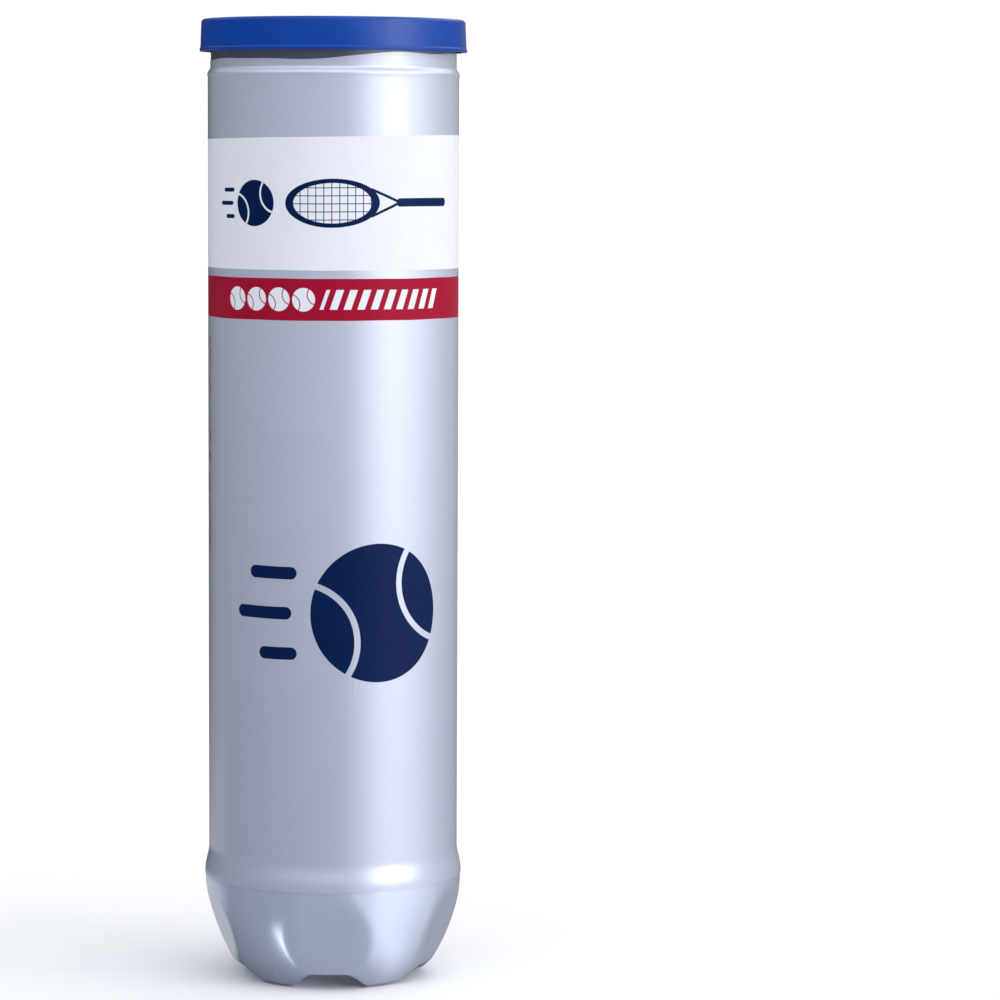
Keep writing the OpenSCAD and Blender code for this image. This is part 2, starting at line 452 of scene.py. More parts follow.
def racket(s, z, x, y):
    """Distance to a racket that lies on its side, with the middle of its strings at (x, y)."""
    half_long, half_wide, frame_half_w = 12.7, 6.4, 0.62
    string_gap, string_half_w = 1.15, 0.13
    throat_start, throat_end, throat_tip, throat_slope, throat_half_w = 11.4, 20.0, 20.5, 0.42, 0.42
    grip_start, grip_end, grip_half_w = 19.3, 39.9, 1.2
    positive = 60.0  # PINGPONG mirrors its pattern at zero, so places are moved clear of that
    dx, dz = s - x, z - y
    across, along = dx / half_long, dz / half_wide
    head = ((across * across + along * along).math("SQRT") - 1.0) * half_wide
    upright, level = ((d + positive).math("PINGPONG", string_gap) for d in (dx, dz))
    strings = upright.smaller(level) - string_half_w
    throat = abs(abs(dz) - (-dx + throat_tip) * throat_slope) - throat_half_w
    throat = throat.larger(-dx + throat_start).larger(dx - throat_end)
    grip = bar(s, z, x + grip_start, x + grip_end, y - grip_half_w, y + grip_half_w)
    return (abs(head) - frame_half_w).smaller(strings.larger(head)).smaller(throat).smaller(grip)


def slant_stripes(s, z, left, right, low, high):
    """Distance to a row of slanted stripes between two places and two heights."""
    slant, gap, half_w = 0.35, 2.0, 1.1
    shifted = s - (z - low) * slant
    stripes = (shifted - left + 100.0).math("PINGPONG", gap) - half_w
    ends = (-shifted + left).larger(shifted - right)
    return stripes.larger(ends).larger(-z + low).larger(z - high)


def sleeve_film():
    """Shrunk film with metallic silver, white, red and navy inks under a gloss coat."""
    tree = Tree("sleeve_film", coat_roughness=0.2, coat_ior=1.9)
    x, y, z = tree.place()
    # s is the distance round the sleeve from the middle of the front. The back repeats the front.
    angle = x.math("ARCTAN2", -y)
    s = angle.math("WRAP", math.pi / 2, -math.pi / 2) * SLEEVE_R
    # The film shrank unevenly near the top, so lines there lean a little.
    lean = angle.math("SINE") * z.ramp(215.0, 250.0) * 0.7
    waves = (tree.noise(26.0, 1.0) - 0.5) * 0.5
    level = z - lean - waves

    silver = tree.mix(tree.noise(1.1, 4.0), colour(193, 200, 220), colour(201, 207, 226))
    silver = tree.mix(tree.noise(30.0, 2.0) * 0.5, silver, colour(189, 196, 215))
    # Painted shade: the silver is painted darker towards the bottom, where less light falls on the can.
    silver = tree.mix(z.ramp(230.0, 40.0) * 0.8, silver, colour(177, 184, 205))
    white = tree.mix(tree.noise(8.0, 3.0), colour(217, 220, 228), colour(211, 214, 223))
    red = tree.mix(tree.noise(9.0, 3.0), colour(154, 14, 46), colour(145, 10, 42))
    navy = tree.mix(tree.noise(9.0, 3.0), colour(2, 28, 74), colour(0, 22, 62))

    on_white = level.within(*WHITE_BAND)
    on_red = level.within(*RED_BAND)
    low, high = WHITE_BAND
    marks = flying_ball(s, level, left=-39.5, low=low + 12.6, height=13.5)
    marks = marks.smaller(racket(s, level, -0.3, low + 19.3))
    big = flying_ball(s, level, left=-31.0, low=92.2, height=40.5)
    low, high = RED_BAND
    first_pip, pip_pitch, pip_r, margin = -31.5, 7.6, 3.4, 3.2
    pips = ball_icon(s, level, first_pip, (low + high) / 2, pip_r)
    for i in range(1, 4):
        pips = pips.smaller(ball_icon(s, level, first_pip + pip_pitch * i, (low + high) / 2, pip_r))
    pips = pips.smaller(slant_stripes(s, level, -4.0, 33.0, low + margin, high - margin))

    # Rows of short dashes on the side, in the place of small print.
    rows = (s + 60.0).math("PINGPONG", 1.6)
    dash_length = tree.noise(3.2, 0.0, stretch=(0.2, 0.2, 1))
    dashes = rows.ramp(0.55, 0.45) * dash_length.ramp(0.42, 0.46)
    side = s.within(-57.5, -48.5) * level.within(128.0, 191.7)

    inked = on_white.larger(on_red).larger(printed(big))
    base = tree.mix(on_white, silver, white)
    base = tree.mix(on_red, base, red)
    # Two upright creases. They don't show in the navy ink.
    for place, low, high in ((-33.6, 38.0, 66.0), (6.5, 88.0, 124.0)):
        crease = abs(s - place).ramp(0.3, 0.05) * level.within(low, high, 2.0)
        base = tree.mix(crease * 0.35, base, white)
    base = tree.mix(printed(marks).larger(printed(big)).larger(dashes * side), base, navy)
    base = tree.mix(printed(pips), base, white)
    # The lap of the film, with a dark line along its edge.
    lap = (angle - LAP_ANGLE) * SLEEVE_R
    base = tree.mix(lap.within(-LAP_HALF_W, LAP_HALF_W, 0.1) * 0.12, base, white)
    base = tree.mix(abs(lap + LAP_HALF_W).ramp(0.25, 0.1) * 0.5, base, navy)
    flakes = tree.noise(0.28, 1.0)
    scuffs = tree.noise(5.0, 5.0, stretch=(0.5, 0.5, 8), roughness=0.7).ramp(0.62, 0.72)
    # The silver ink is part metallic and glossy. The other inks are neither.
    tree.set(
        base_color=base,
        metallic=(inked - 1.0) * -0.34,
        coat_weight=(inked - 1.0) * -0.97 + 0.03,
        specular_ior_level=inked * -0.14 + 0.2,
        roughness=flakes * 0.08 + scuffs * 0.06 + inked * 0.05 + 0.26,
    )
    orange_peel = tree.bump(tree.noise(2.2, 2.0), 0.012)
    pull_lines = tree.bump(tree.noise(9.0, 3.0, stretch=(1, 1, 14)), 0.05, orange_peel)
    tree.set(coat_normal=pull_lines, normal=tree.bump(flakes, 0.004, pull_lines))
    return tree.material


# ---- Other materials ----


def bottle_plastic():
    """Silver-tinted blown polyester with faint flow lines, and a painted shadow of the lid on its neck."""
    tree = Tree("bottle_plastic", metallic=0.5, coat_weight=0.8, coat_roughness=0.04)
    # Painted shadow: the neck above the shoulder is painted a dark grey-blue, standing in for the lid's
    # shadow falling on it.
    lid_shadow_on_neck = tree.place()[2].ramp(SHOULDER_TOP + 0.3, SHOULDER_TOP + 0.9)
    flow = tree.noise(7.0, 4.0, stretch=(1, 1, 7))
    grain = tree.noise(0.6, 3.0)
    scuffs = tree.noise(3.0, 6.0, stretch=(4, 1, 1), roughness=0.75).ramp(0.66, 0.74)
    base = tree.mix(flow, colour(184, 193, 217), colour(200, 208, 231))
    base = tree.mix(scuffs * 0.3, base, colour(216, 221, 234))
    tree.set(
        base_color=tree.mix(lid_shadow_on_neck, base, colour(92, 100, 124)),
        roughness=grain * 0.06 + scuffs * 0.1 + flow * 0.06 + 0.19,
        normal=tree.bump(grain, 0.006, tree.bump(flow, 0.06)),
    )
    return tree.material


def lid_plastic():
    """Blue polyethylene with a fine moulded grain."""
    tree = Tree("lid_plastic", specular_ior_level=0.3)
    grain = tree.noise(0.35, 3.0, roughness=0.65)
    clouds = tree.noise(11.0, 4.0)
    scuffs = tree.noise(2.4, 6.0, stretch=(3, 3, 1), roughness=0.75).ramp(0.6, 0.7)
    base = tree.mix(clouds, colour(0, 62, 152), colour(0, 55, 142))
    tree.set(
        base_color=tree.mix(scuffs * 0.2, base, colour(20, 90, 184)),
        roughness=grain * 0.1 + scuffs * 0.1 + 0.1,
        normal=tree.bump(grain, 0.06, tree.bump(clouds, 0.04)),
    )
    return tree.material


def sheet_metal(name, ring_grain, tint):
    """Lacquered aluminium sheet with a straight rolling grain or a turned one."""
    tree = Tree(name, metallic=1.0, coat_weight=0.25, coat_roughness=0.1, anisotropic=0.3)
    if ring_grain:
        x, y, z = tree.place()
        radius = (x * x + y * y).math("SQRT")
        join = tree.nodes.new("ShaderNodeCombineXYZ")
        tree.feed(join.inputs[0], radius / MM)
        tree.feed(join.inputs[2], z / MM)
        grain = tree.noise(0.16, 3.0, vector=join.outputs[0])
    else:
        grain = tree.noise(0.22, 4.0, stretch=(1, 60, 1))
    smear = tree.noise(6.0, 4.0)
    scratch = tree.noise(1.3, 6.0, stretch=(1, 9, 1), roughness=0.8).ramp(0.64, 0.7)
    base = tree.mix(smear, colour(*tint), colour(*(c - 14 for c in tint)))
    tree.set(
        base_color=tree.mix(grain * 0.5, base, colour(*(c - 26 for c in tint))),
        roughness=grain * 0.12 + smear * 0.08 + scratch * 0.12 + 0.17,
        normal=tree.bump(grain, 0.006, tree.bump(scratch, 0.008)),
    )
    return tree.material


def felt(name):
    """Yellow-green felt: matted fibres over a lumpy nap."""
    tree = Tree(name, roughness=0.95, specular_ior_level=0.15, sheen_weight=0.45, sheen_roughness=0.6)
    tree.set(sheen_tint=colour(244, 246, 150))
    fibres = tree.noise(0.5, 6.0, roughness=0.75)
    nap = tree.noise(2.6, 4.0, roughness=0.65)
    patches = tree.noise(14.0, 2.0)
    base = tree.mix(fibres.ramp(0.32, 0.68), colour(176, 186, 20), colour(236, 240, 76))
    base = tree.mix(nap.ramp(0.35, 0.7) * 0.45, base, colour(216, 224, 44))
    tree.set(
        base_color=tree.mix(patches * 0.25, base, colour(204, 210, 36)),
        normal=tree.bump(fibres, 0.35, tree.bump(nap, 0.4)),
    )
    return tree.material


def rubber(name, dark, light, roughness, size):
    """Matt rubber with fine moulded grain and dusty patches."""
    tree = Tree(name, specular_ior_level=0.35)
    grain = tree.noise(size, 4.0, roughness=0.65)
    dust = tree.noise(7.0, 5.0)
    tree.set(
        base_color=tree.mix(grain * 0.6 + dust * 0.4, colour(*dark), colour(*light)),
        roughness=grain * 0.15 + dust * 0.1 + roughness,
        normal=tree.bump(grain, 0.03),
    )
    return tree.material


# ---- Bottle and sleeve ----


def wall_radius(z):
    """Outer radius of the bottle between the heel and the flange."""
    heel_low, heel_high = 0.8, 8.6
    bead_depth, bead_below, bead_half_w = 0.16, 2.1, 0.5
    heel = smoothstep(HEEL_Z + heel_high, HEEL_Z + heel_low, z)
    shoulder = smoothstep(SHOULDER_TOP - SHOULDER_H, SHOULDER_TOP, z)
    bead = bead_depth * np.exp(-(((z - SHOULDER_TOP + bead_below) / bead_half_w) ** 2))
    return BODY_R + (HEEL_R - BODY_R) * heel + (NECK_R - BODY_R) * shoulder + bead


def foot_line():
    """(radius, height) from the heel over a foot to the middle of the base."""
    centre = HEEL_R - SIDE_ARC_R
    reach = SIDE_ARC_R - FOOT_R
    drop = HEEL_Z - FOOT_R
    run = centre + math.sqrt(reach**2 - drop**2)
    side_end = math.asin(drop / reach)
    pad_r = run - PAD_W
    side = [
        (centre + SIDE_ARC_R * math.cos(a), HEEL_Z - SIDE_ARC_R * math.sin(a))
        for a in np.linspace(0, side_end, 60)
    ]
    foot = [
        (run + FOOT_R * math.cos(a), FOOT_R - FOOT_R * math.sin(a))
        for a in np.linspace(side_end, math.pi / 2, 24)[1:]
    ]
    rise_end = 0.75
    rise = [(pad_r * (1 - t), DOME_Z * float(smoothstep(0, rise_end, t))) for t in np.linspace(0, 1, 40)]
    return side + foot + rise


def soft_min(a, b, width):
    """The smaller of two values, with a rounded change between them."""
    share = np.clip(0.5 + 0.5 * (b - a) / width, 0, 1)
    return b + (a - b) * share - width * share * (1 - share)


def base_grid(steps):
    """Points of the base, row by row from the heel to the middle, with a flat and an arch between feet."""
    flat_out, flat_blend, arch_blend = 0.15, 1.0, 0.5
    angles = TURN * np.arange(steps) / steps
    off = (angles - FRONT_VALLEY + math.pi / FEET) % (TURN / FEET) - math.pi / FEET
    rows = []
    for radius, height in foot_line():
        flat = (HEEL_R + flat_out - (FLAT_TOP - height) * math.tan(FLAT_LEAN)) / np.cos(off)
        r = radius if height > FLAT_TOP + 1 else soft_min(radius, flat, flat_blend)
        arch = ARCH_Z * smoothstep(ARCH_HALF_W, ARCH_TOP_HALF_W, np.abs(r * np.sin(off)))
        z = -soft_min(-height, -arch, arch_blend)
        rows.append(np.stack((r * np.cos(angles), r * np.sin(angles), z + 0 * angles), 1))
    return rows


def inset_rows(rows, depth):
    """The same rows moved inwards along the surface's normals."""
    grid = np.array(rows)
    down = np.gradient(grid, axis=0)
    round_ = np.roll(grid, -1, 1) - np.roll(grid, 1, 1)
    out = np.cross(round_, -down)
    length = np.linalg.norm(out, axis=2, keepdims=True)
    least = 1e-9  # where the rows close to a point, the normal is straight down
    out = np.where(length > least, out / np.maximum(length, least), (0.0, 0.0, -1.0))
    return list(grid - out * depth)


def build_bottle(material):
    """The bottle as one shell: outside, flange and inside. It's closed in the middle of the base."""
    steps = 320
    straight_top, straight_bottom = SHOULDER_TOP - 4, HEEL_Z + 10
    heights = np.r_[
        np.linspace(FLANGE_TOP - FLANGE_DROP, SHOULDER_TOP, 6),
        np.linspace(SHOULDER_TOP, straight_top, 24)[1:],
        np.linspace(straight_top, straight_bottom, 12)[1:],
        np.linspace(straight_bottom, HEEL_Z, 30)[1:],
    ]
    angles = TURN * np.arange(steps) / steps
    ring = np.stack((np.cos(angles), np.sin(angles), 0 * angles), 1)
    outer = [ring * wall_radius(z) + (0, 0, z) for z in heights] + base_grid(steps)[1:]
    inner = inset_rows(outer, WALL)
    # The rim turns outwards and down, as the metal end is hooked onto it.
    inside = FLANGE_R - WALL
    bevel = 0.2
    flange = [
        (NECK_R + 0.05, FLANGE_TOP - WALL - 0.05), (inside, FLANGE_TOP - WALL),
        (inside, FLANGE_TOP - FLANGE_DROP), (FLANGE_R, FLANGE_TOP - FLANGE_DROP),
        (FLANGE_R, FLANGE_TOP - bevel), (FLANGE_R - bevel, FLANGE_TOP), (NECK_R - WALL, FLANGE_TOP),
    ]
    lip = [ring * r + (0, 0, z) for r, z in flange]
    rows = outer[::-1] + lip + inner
    points = np.vstack(rows)
    faces = grid_faces(len(rows), steps)
    make("bottle", [(points, faces)], "can", "can_body", material)


def build_sleeve(material):
    """The shrunk film, which follows the bottle's wall and is thicker at its lap."""
    steps = 400
    bottom = HEEL_Z
    top = sleeve_high.z
    heel_end, neck_start = 0.06, 0.97
    levels = np.r_[
        np.linspace(0, heel_end, 30),
        np.linspace(heel_end, neck_start, 46)[1:],
        np.linspace(neck_start, 1, 26)[1:],
    ]
    lift, lap_t, pull_depth, pull_h = 1.9, 0.1, 0.03, 30

    def film(share, angle, out):
        """A point of the film at a share of its height. Its top edge is wavy and higher on the right."""
        waves = 0.22 * math.sin(5 * angle) + 0.1 * math.sin(11 * angle + 1)
        waves += lift * float(smoothstep(-0.1, 0.55, math.sin(angle)))
        z = bottom + share * (top - 0.3 + waves - bottom)
        lap_off = abs((angle - LAP_ANGLE + math.pi) % TURN - math.pi) * BODY_R
        lap = lap_t * float(smoothstep(LAP_HALF_W + 0.2, LAP_HALF_W - 0.1, lap_off))
        pull = pull_depth * math.sin(9 * angle + 0.05 * z) * float(smoothstep(top - pull_h, top, z))
        r = wall_radius(z) + SLEEVE_GAP + out + lap + pull
        return r * math.sin(angle), -r * math.cos(angle), z

    outside = [(share, SLEEVE_T) for share in levels]
    inside = [(share, 0.0) for share in levels[::-1]]
    loop = outside + inside
    points = [film(share, TURN * i / steps, out) for share, out in loop for i in range(steps)]
    faces = grid_faces(len(loop), steps, wrap_rows=True)
    make("sleeve", [(points, faces)], "can", "shrink_sleeve", material)


# ---- Metal end and tab ----


def build_end(metal):
    """The ring that stays on the bottle, from the hook over the seam and down round the groove."""
    half = SHEET / 2
    hook_h, chuck_lean, groove_out = 1.4, 0.12, 0.6
    hook_r = NECK_R + 0.1 + half
    outer = SEAM_R - half
    chuck = CHUCK_R - half
    groove_in = PANEL_R + groove_out - half
    bottom = GROOVE_Z + half
    seam_low = SEAM_TOP - SEAM_H + half
    shelf = PANEL_TOP - half
    path = rounded([
        (hook_r, seam_low + hook_h, 0), (hook_r, seam_low, 0.3), (outer, seam_low, 0.45),
        (outer, SEAM_TOP - half, 0.55), (chuck, SEAM_TOP - half, 0.6), (chuck - chuck_lean, bottom, 0.45),
        (groove_in, bottom, 0.4), (groove_in, shelf, 0.3), (PANEL_R + 0.05, shelf, 0),
    ], 8)
    part = revolve(sheet_outline(path, SHEET))
    make("end_shell", [part], "can", "end_ring", metal)


def panel_height(x, y):
    """Height of the top of the stamped tear panel."""
    r = np.hypot(x, y)
    low = PANEL_TOP - PANEL_DROP
    z = low + PANEL_DROP * smoothstep(DROP_R - 0.1, DROP_R + 0.9, r)
    # A round bead that stiffens the middle.
    bead_r, bead_h, bead_half_w = 24.6, 0.22, 0.75
    z = z + bead_h * np.exp(-(((r - bead_r) / bead_half_w) ** 2))
    # A hollow under the ring for a fingertip.
    well_half_w, well_half_l, well_depth = 8.2, 6.6, 0.85
    well = np.hypot(x / well_half_w, (y - RING_Y - 1.5) / well_half_l)
    z = z - well_depth * smoothstep(1.05, 0.62, well)
    # A boss that the rivet stands on.
    boss = np.hypot(x, y - RIVET_Y)
    z = z + (tongue_low.z - 0.04 - low) * smoothstep(4.2, 2.6, boss)
    # The score line at the edge.
    score_in, score_depth, score_half_w = 0.55, 0.06, 0.09
    score = score_depth * np.exp(-(((r - PANEL_R + score_in) / score_half_w) ** 2))
    # An arc-shaped bead round the tab's ring end.
    arc_r, arc_h = 14.2, 0.16
    arc = arc_h * smoothstep(0.5, 0.2, np.abs(np.hypot(x, y + 1.0) - arc_r)) * smoothstep(-9.5, -8.0, y)
    return z - score + arc


def build_panel(metal):
    """The stamped tear panel and the rivet that is drawn up from it."""
    steps = 240
    rim = PANEL_R - 1.0
    radii = np.r_[np.linspace(0, rim, 130), np.linspace(rim, PANEL_R, 18)[1:]]
    angles = TURN * np.arange(steps) / steps
    x = radii[:, None] * np.cos(angles)
    y = radii[:, None] * np.sin(angles)
    z = panel_height(x, y)
    top = np.stack((x, y, z), 2)
    under = top - (0, 0, SHEET)
    points = np.vstack((top, under[::-1])).reshape(-1, 3)
    disc_part = (points, grid_faces(2 * len(radii), steps, wrap_rows=True))
    head_top = panel_high.z
    foot = tongue_low.z - 0.3
    seat = tongue_high.z + 0.03
    dimple_r, dimple_low = 1.5, head_top - 0.18
    outline = rounded([
        (0, foot, 0), (RIVET_R, foot, 0), (RIVET_R, seat, 0),
        (RIVET_HEAD_R, seat, 0.12), (RIVET_HEAD_R, head_top, 0.3), (dimple_r, head_top, 0.15),
        (dimple_r - 0.3, dimple_low, 0.1), (0, dimple_low, 0),
    ])
    rivet, faces = revolve(outline, 64)
    rivet = [(px, py + RIVET_Y, pz) for px, py, pz in rivet]
    parts = [disc_part, (rivet, faces)]
    make("panel_sheet", parts, "panel", "tear_panel", metal)


def tab_edge(inset=0.0):
    """Outline of the tab, from its nose round its ring end."""
    w = TAB_HALF_W - inset
    n = NOSE_HALF_W - inset
    widest_y = HINGE_Y + 8
    corners = [(-n, HINGE_Y, 1.2), (n, HINGE_Y, 1.2), (w, widest_y, 6)]
    right = rounded([(-w, widest_y, 0), *corners, (w, RING_Y, 0)], 8)[1:-1]
    arc = [(w * math.cos(a), RING_Y + w * math.sin(a)) for a in np.linspace(0, math.pi, 40)]
    left = [(-x, y) for x, y in right if y > HINGE_Y + 4][::-1]
    return [tuple(p) for p in right] + arc + left


def tongue_edge(gap):
    """Outline of the tongue, from its root round the rivet, widened by gap."""
    half, radius = TONGUE_HALF_W + gap, TONGUE_R + gap
    root = HINGE_Y + NOSE_R + 0.05
    start = math.asin(half / radius)
    turns = np.linspace(start - math.pi / 2, 1.5 * math.pi - start, 40)
    arc = [(radius * math.cos(a), RIVET_Y + radius * math.sin(a)) for a in turns]
    return [(-half, root), (half, root), *arc]


def build_tab(metal):
    """A plate with curled edges round its outside and its finger hole, and a rolled nose."""
    curl, tall, plate_t, lance_gap = 0.55, 1.15, 0.3, 0.35
    middle = (tab_low.z + tab_high.z) / 2 + 0.05
    hole = circle_points(RING_Y, RING_HOLE_R + curl)
    slot = tongue_edge(lance_gap)
    parts = [plate(tab_edge(curl + 0.15), [hole[::-1], slot[::-1]], middle - plate_t, middle)]
    for edge in (tab_edge(curl), hole):
        parts.append(tube([(x, y, middle) for x, y in edge], curl, tall))
    r, end = NOSE_R - 0.02, NOSE_HALF_W
    points, faces = revolve(rounded([(0, -end, 0), (r, -end, 0.4), (r, end, 0.4), (0, end, 0)]), 32)
    points = [(pz, HINGE_Y + px, HINGE_Z + py) for px, py, pz in points]
    parts.append((points, faces))
    rib_r, rib_t = RING_HOLE_R + 1.35, 0.25
    rib = [(x, y, middle + 0.1) for x, y in circle_points(RING_Y, rib_r)]
    parts.append(tube(rib, rib_t))
    make("ring_tab", parts, "tab", "pull_tab", metal)


def build_tongue(metal):
    """The flat tongue under the rivet's head."""
    edge = tongue_edge(0.0)
    edge_r, lip_r = 0.3, 0.12
    hole = circle_points(RIVET_Y, RIVET_R + 0.08, 32)
    lip = circle_points(RIVET_Y, RIVET_R + 0.3, 32)
    low, high = tongue_low.z + 0.1, tongue_high.z - 0.1
    parts = [plate(edge, [hole[::-1]], low, high)]
    parts.append(tube([(x, y, (low + high) / 2) for x, y in edge], edge_r))
    parts.append(tube([(x, y, high) for x, y in lip], lip_r))
    make("rivet_tongue", parts, "panel", "tab_tongue", metal)


# ---- Lid ----


def build_lid(material):
    """A turned lid: a lowered middle with a low round rib and a gate mark, and a skirt with a bead inside."""
    top_r = LID_R - LID_DRAFT
    inner = SEAM_R + 0.7
    under_rim = SEAM_TOP + 0.05
    middle_top = under_rim - 0.15
    middle_low = middle_top - 1.0
    plug_r = CHUCK_R - SHEET - 0.2
    bead_z, bead_depth = SEAM_TOP - 3.85, 0.6
    lip_top, lip_out = LID_BOTTOM + 0.8, 0.22
    rib_out, rib_in, rib_top = 24.5, 23.1, middle_top + 0.2
    gate_r, gate_top = 1.6, middle_top + 0.16
    outline = rounded([
        (0, middle_low, 0), (plug_r, middle_low, 0.5), (plug_r, under_rim, 0.3), (inner, under_rim, 0.4),
        (inner, bead_z + 0.9, 0), (inner - bead_depth, bead_z, 0.35), (inner, bead_z - 1.0, 0.2),
        (inner, LID_BOTTOM, 0.12), (LID_R, LID_BOTTOM, 0.25), (LID_R, lip_top, 0.2),
        (LID_R - lip_out, lip_top + 0.4, 0.2), (top_r, LID_TOP, 1.1), (plug_r + 0.4, LID_TOP, 0.35),
        (plug_r - 0.6, middle_top, 0.4), (rib_out, middle_top, 0.2), (rib_out - 0.3, rib_top, 0.12),
        (rib_in + 0.3, rib_top, 0.12), (rib_in, middle_top, 0.2), (gate_r, middle_top, 0.15),
        (gate_r - 0.3, gate_top, 0.1), (0, gate_top, 0),
    ])
    make("lid_cap", [revolve(outline, 320)], "lid", "snap_lid", material)


# ---- Balls ----


def felt_patch(edge, nodes):
    """One felt panel: unit directions over it, its quads, each direction's angle from the panel's edge
    and the way to that edge. A panel is a band over the ball with a half cap at each end."""
    lats = np.linspace(-edge, edge, 2 * nodes + 1)
    lons = np.linspace(0, math.pi, 4 * nodes + 1)
    directions, rims, outward = [], [], []
    for u in lons:
        for v in lats:
            flat, up = math.cos(v), math.sin(v)
            directions.append((flat * math.cos(u), up, flat * math.sin(u)))
            rims.append(edge - abs(v))
            outward.append((-abs(up) * math.cos(u), math.copysign(flat, v), -abs(up) * math.sin(u)))
    faces = grid_faces(len(lons), len(lats), wrap_columns=False)
    turns = np.linspace(0, math.pi, 2 * nodes + 1)
    for side in (1, -1):
        base = len(directions)
        for a in lats[nodes:]:
            for b in turns:
                flat = math.sin(a)
                directions.append((side * math.cos(a), flat * math.cos(b), -flat * math.sin(b)))
                rims.append(edge - a)
                outward.append((-side * flat, math.cos(a) * math.cos(b), -math.cos(a) * math.sin(b)))
        faces += grid_faces(nodes + 1, len(turns), wrap_columns=False, start=base)
    # Join the three patches where their points coincide.
    number, kept, index = {}, [], []
    for i, d in enumerate(directions):
        key = tuple(round(c, 6) + 0.0 for c in d)
        if key not in number:
            number[key] = len(kept)
            kept.append(i)
        index.append(number[key])
    quads = []
    for face in faces:
        corners = list(dict.fromkeys(index[i] for i in face))
        if len(corners) > 2:
            quads.append(tuple(corners))
    return np.array(directions)[kept], quads, np.array(rims)[kept], np.array(outward)[kept]


def open_edges(faces):
    """Edges that only one face has, in that face's direction."""
    seen = {}
    for face in faces:
        for a, b in zip(face, face[1:] + face[:1]):
            seen[frozenset((a, b))] = None if frozenset((a, b)) in seen else (a, b)
    return [edge for edge in seen.values() if edge]


def felt_part(patch, radius, turn, centre, seed):
    """A felt panel with a rounded edge and a lumpy, fibrous outside."""
    directions, faces, rims, outward = patch
    edge_w, edge_drop, fray, highest = 2.2, 0.75, 0.3, 0.12
    past = 1 - np.minimum(rims * radius / edge_w, 1)
    drop = edge_drop * (1 - np.sqrt(1 - past**2))
    lumps, frays = [], []
    for d in directions:
        p = Vector(d) * radius + Vector((seed, 0, 0))
        lumps.append(0.16 * noise.noise(p * 1.5) + 0.12 * noise.noise(p * 0.42))
        frays.append(noise.noise(p * 0.9) + 0.6 * noise.noise(p * 2.3))
    lift = np.minimum(np.array(lumps), highest)
    shift = fray / radius * np.array(frays) * past**2
    frayed = directions + outward * shift[:, None]
    outer = frayed * (radius - drop - highest + lift)[:, None]
    inner = directions * (radius - FELT_T)
    count = len(directions)
    walls = [(b, a, a + count, b + count) for a, b in open_edges(faces)]
    under = [tuple(i + count for i in face[::-1]) for face in faces]
    points = np.vstack((outer, inner)) @ np.array(turn).T + np.array(centre)
    return points, faces + walls + under


def seam_part(radius, half, turn, centre):
    """The rubber seam: a ring of even width along the four arcs between the panels."""
    crown = 0.12
    outer = [(a, radius - SEAM_DEPTH + crown * (1 - a * a)) for a in np.linspace(-1, 1, 9)]
    inner = [(a, radius - FELT_T) for a in (1, 0, -1)]
    section = outer + inner
    steps = 60
    rows = []
    for arc in range(4):
        upper = arc in (0, 2)  # arcs 0 and 2 run over the top, and 1 and 3 under the ball
        way = 1 if arc in (0, 3) else -1
        for step in range(steps):
            t = math.pi * step / steps
            if arc > 1:
                t = math.pi - t
            row = []
            for a, rho in section:
                angle = math.pi / 4 + (a if upper else -a) * half
                side, flat = way * math.cos(angle), math.sin(angle)
                if upper:
                    d = (flat * math.cos(t), side, flat * math.sin(t))
                else:
                    d = (side, flat * math.cos(t), -flat * math.sin(t))
                row.append(np.array(d) * rho)
            rows.append(row)
    points = np.array(rows).reshape(-1, 3) @ np.array(turn).T + np.array(centre)
    return points, grid_faces(len(rows), len(section), wrap_rows=True)


def fuzz_part(patch, radius, turn, centre, count):
    """Loose fibres: thin bent blades that lean off the felt, each with a root, a knee and a tip."""
    directions, faces = patch[:2]
    scatter = 0.015
    root_r, knee_r, tip_r = radius - 0.3, radius - 0.16, radius - 0.18
    knee_share, knee_w = 0.45, 0.8
    points, blades = [], []
    for _ in range(count):
        face = random.choice(faces)
        base = np.mean([directions[i] for i in face], axis=0)
        base = base + np.random.uniform(-scatter, scatter, 3)
        base /= np.linalg.norm(base)
        lean = np.cross(base, np.random.normal(size=3))
        lean /= np.linalg.norm(lean)
        side = np.cross(base, lean) * random.uniform(0.04, 0.07)
        length = random.uniform(0.8, 2.2)
        lift = random.uniform(0.12, 0.42)
        root = base * root_r
        knee = base * (knee_r + lift) + lean * length * knee_share
        tip = base * (tip_r + lift * random.uniform(0.5, 1.5)) + lean * length
        tip = tip + side * random.uniform(-6, 6)
        first = len(points)
        points += [root - side, root + side, knee + side * knee_w, knee - side * knee_w, tip]
        blades += [(first, first + 1, first + 2, first + 3), (first + 3, first + 2, first + 4)]
    return np.array(points) @ np.array(turn).T + np.array(centre), blades


